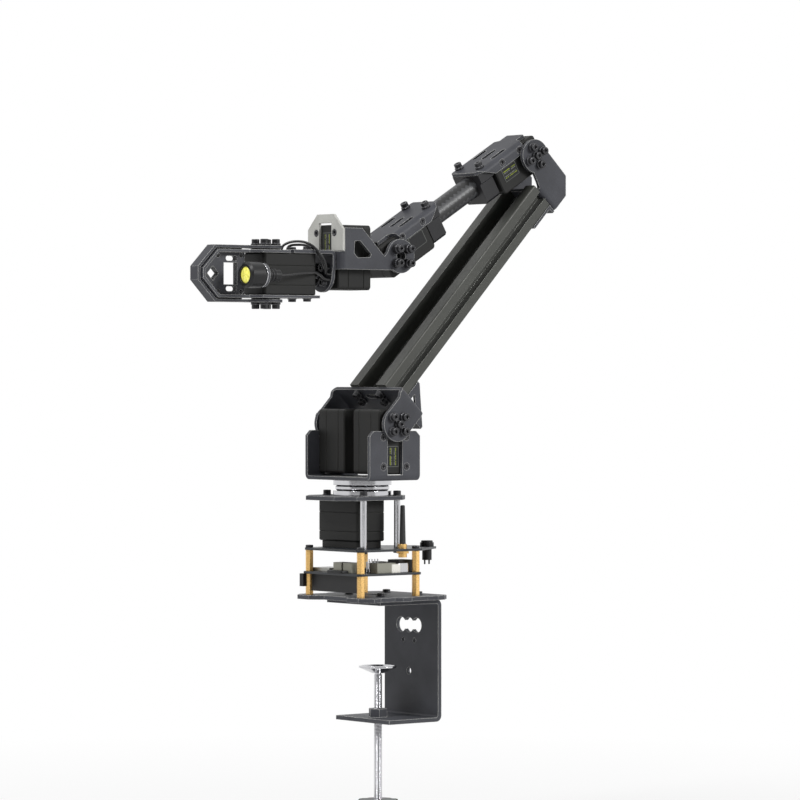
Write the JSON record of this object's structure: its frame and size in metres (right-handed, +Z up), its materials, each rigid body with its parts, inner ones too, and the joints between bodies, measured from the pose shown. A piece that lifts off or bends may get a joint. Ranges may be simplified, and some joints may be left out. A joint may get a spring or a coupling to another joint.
{
  "type": "desktop robot arm",
  "caption": "Articulated desktop arm on a table clamp: turntable, beam, tubular forearm, wrist, roll joint and a two-jaw sheet-metal gripper with a small lamp.",
  "frame": {"origin": "On the turntable's axis, on the underside of the clamp's upper flange, where the table top lies", "axes": "+Z up along the turntable's axis, +X forward, the way the gripper points, +Y to the arm's left"},
  "size_m": [0.3177, 0.088, 0.4822],
  "materials": {
    "black_sheet": "matt powder coat",
    "grey_sheet": "satin powder coat",
    "pale_sheet": "speckled blasted sheet",
    "anodised_beam": "satin black anodised",
    "black_block": "satin black anodised",
    "carbon_tube": "lacquered woven carbon",
    "horn_alloy": "black anodised",
    "servo_case": "fine moulded grain",
    "screw_steel": "black oxide steel",
    "bearing_steel": "ground",
    "brass": "turned",
    "circuit_board": "solder mask",
    "deck_board": "matt board",
    "shield_can": "tinned sheet",
    "socket_plastic": "moulded",
    "header_plastic": "moulded",
    "button_plastic": "moulded",
    "antenna_rubber": "matt sleeve",
    "lamp_plastic": "moulded",
    "lamp_lens": "clear tinted dome",
    "cable_sheath": "satin sheath"
  },
  "bodies": {
    "base": {"clamp_bracket": "black_sheet", "base_plate": "black_sheet", "board_posts": "brass", "driver_board": "circuit_board", "radio_module": "shield_can", "bus_sockets": "socket_plastic", "board_terminals": "header_plastic", "deck_plate": "deck_board", "columns": "bearing_steel", "top_plate": "black_sheet", "base_screws": "screw_steel", "base_servo": "servo_case", "servo_spacer": "servo_case", "button_body": "button_plastic", "antenna_socket": "brass", "antenna": "antenna_rubber", "lower_race": "bearing_steel", "ball_cage": "bearing_steel"},
    "clamp_pad": {"clamp_pad": "bearing_steel"},
    "clamp_screw": {"clamp_screw": "bearing_steel", "clamp_knob": "servo_case"},
    "button_cap": {"button_cap": "button_plastic"},
    "turntable": {"upper_race": "bearing_steel", "base_horn": "horn_alloy", "turntable_hub": "horn_alloy", "turntable_bracket": "black_sheet", "shoulder_servos": "servo_case", "turntable_screws": "screw_steel"},
    "upper_arm": {"arm_horns": "horn_alloy", "shoulder_yoke": "black_sheet", "beam": "anodised_beam", "beam_brackets": "black_sheet", "beam_nuts": "screw_steel", "elbow_yoke": "black_sheet", "arm_screws": "screw_steel"},
    "forearm": {"elbow_servo": "servo_case", "wrist_servo": "servo_case", "elbow_bracket": "black_sheet", "wrist_bracket": "black_sheet", "tube_clamps": "black_block", "forearm_tube": "carbon_tube", "forearm_screws": "screw_steel"},
    "hand": {"wrist_horns": "horn_alloy", "wrist_yoke": "black_sheet", "roll_servo": "servo_case", "hand_plate": "pale_sheet", "hand_screws": "screw_steel"},
    "gripper": {"roll_horn": "horn_alloy", "roll_bracket": "black_sheet", "gripper_servo": "servo_case", "fixed_jaw": "grey_sheet", "gripper_screws": "screw_steel", "lamp_body": "lamp_plastic", "lamp_lens": "lamp_lens", "lamp_nut": "bearing_steel", "servo_cables": "cable_sheath", "lamp_cable": "cable_sheath"},
    "jaw": {"jaw_horns": "horn_alloy", "moving_jaw": "black_sheet", "jaw_screws": "screw_steel"}
  },
  "joints": [
    {"name": "base_yaw", "type": "hinge", "parent": "base", "child": "turntable", "pos_m": [0, 0, 0.08], "axis": [0, 0, 1], "range_deg": [-180, 180]},
    {"name": "shoulder", "type": "hinge", "parent": "turntable", "child": "upper_arm", "pos_m": [0, 0, 0.12606], "axis": [0, 1, 0], "range_deg": [-30, 105]},
    {"name": "elbow", "type": "hinge", "parent": "upper_arm", "child": "forearm", "pos_m": [-0.1428, 0, 0.31735], "axis": [0, -1, 0], "range_deg": [-10, 150]},
    {"name": "wrist", "type": "hinge", "parent": "forearm", "child": "hand", "pos_m": [-0.01868, 0, 0.24337], "axis": [0, 1, 0], "range_deg": [-59, 45]},
    {"name": "roll", "type": "hinge", "parent": "hand", "child": "gripper", "pos_m": [0.03101, 0, 0.22968], "axis": [1, 0, 0], "range_deg": [-180, 180]},
    {"name": "jaw_grip", "type": "hinge", "parent": "gripper", "child": "jaw", "pos_m": [0.08482, 0, 0.22968], "axis": [0, 0, -1], "range_deg": [0, 90]},
    {"name": "clamp_slide", "type": "slide", "parent": "base", "child": "clamp_pad", "axis": [0, 0, 1], "range_m": [-0.02, 0.042]},
    {"name": "clamp_turn", "type": "hinge", "parent": "clamp_pad", "child": "clamp_screw", "pos_m": [-0.014, 0, -0.1], "axis": [0, 0, 1], "range_deg": [-7205, 15125]},
    {"name": "button_press", "type": "slide", "parent": "base", "child": "button_cap", "axis": [0, 0, -1], "range_m": [0, 0.0012], "stiffness_N_per_m": 300}
  ],
  "couplings": [
    {"joint": "clamp_turn", "follows": "clamp_slide", "rad_per_m": 6283.2}
  ]
}
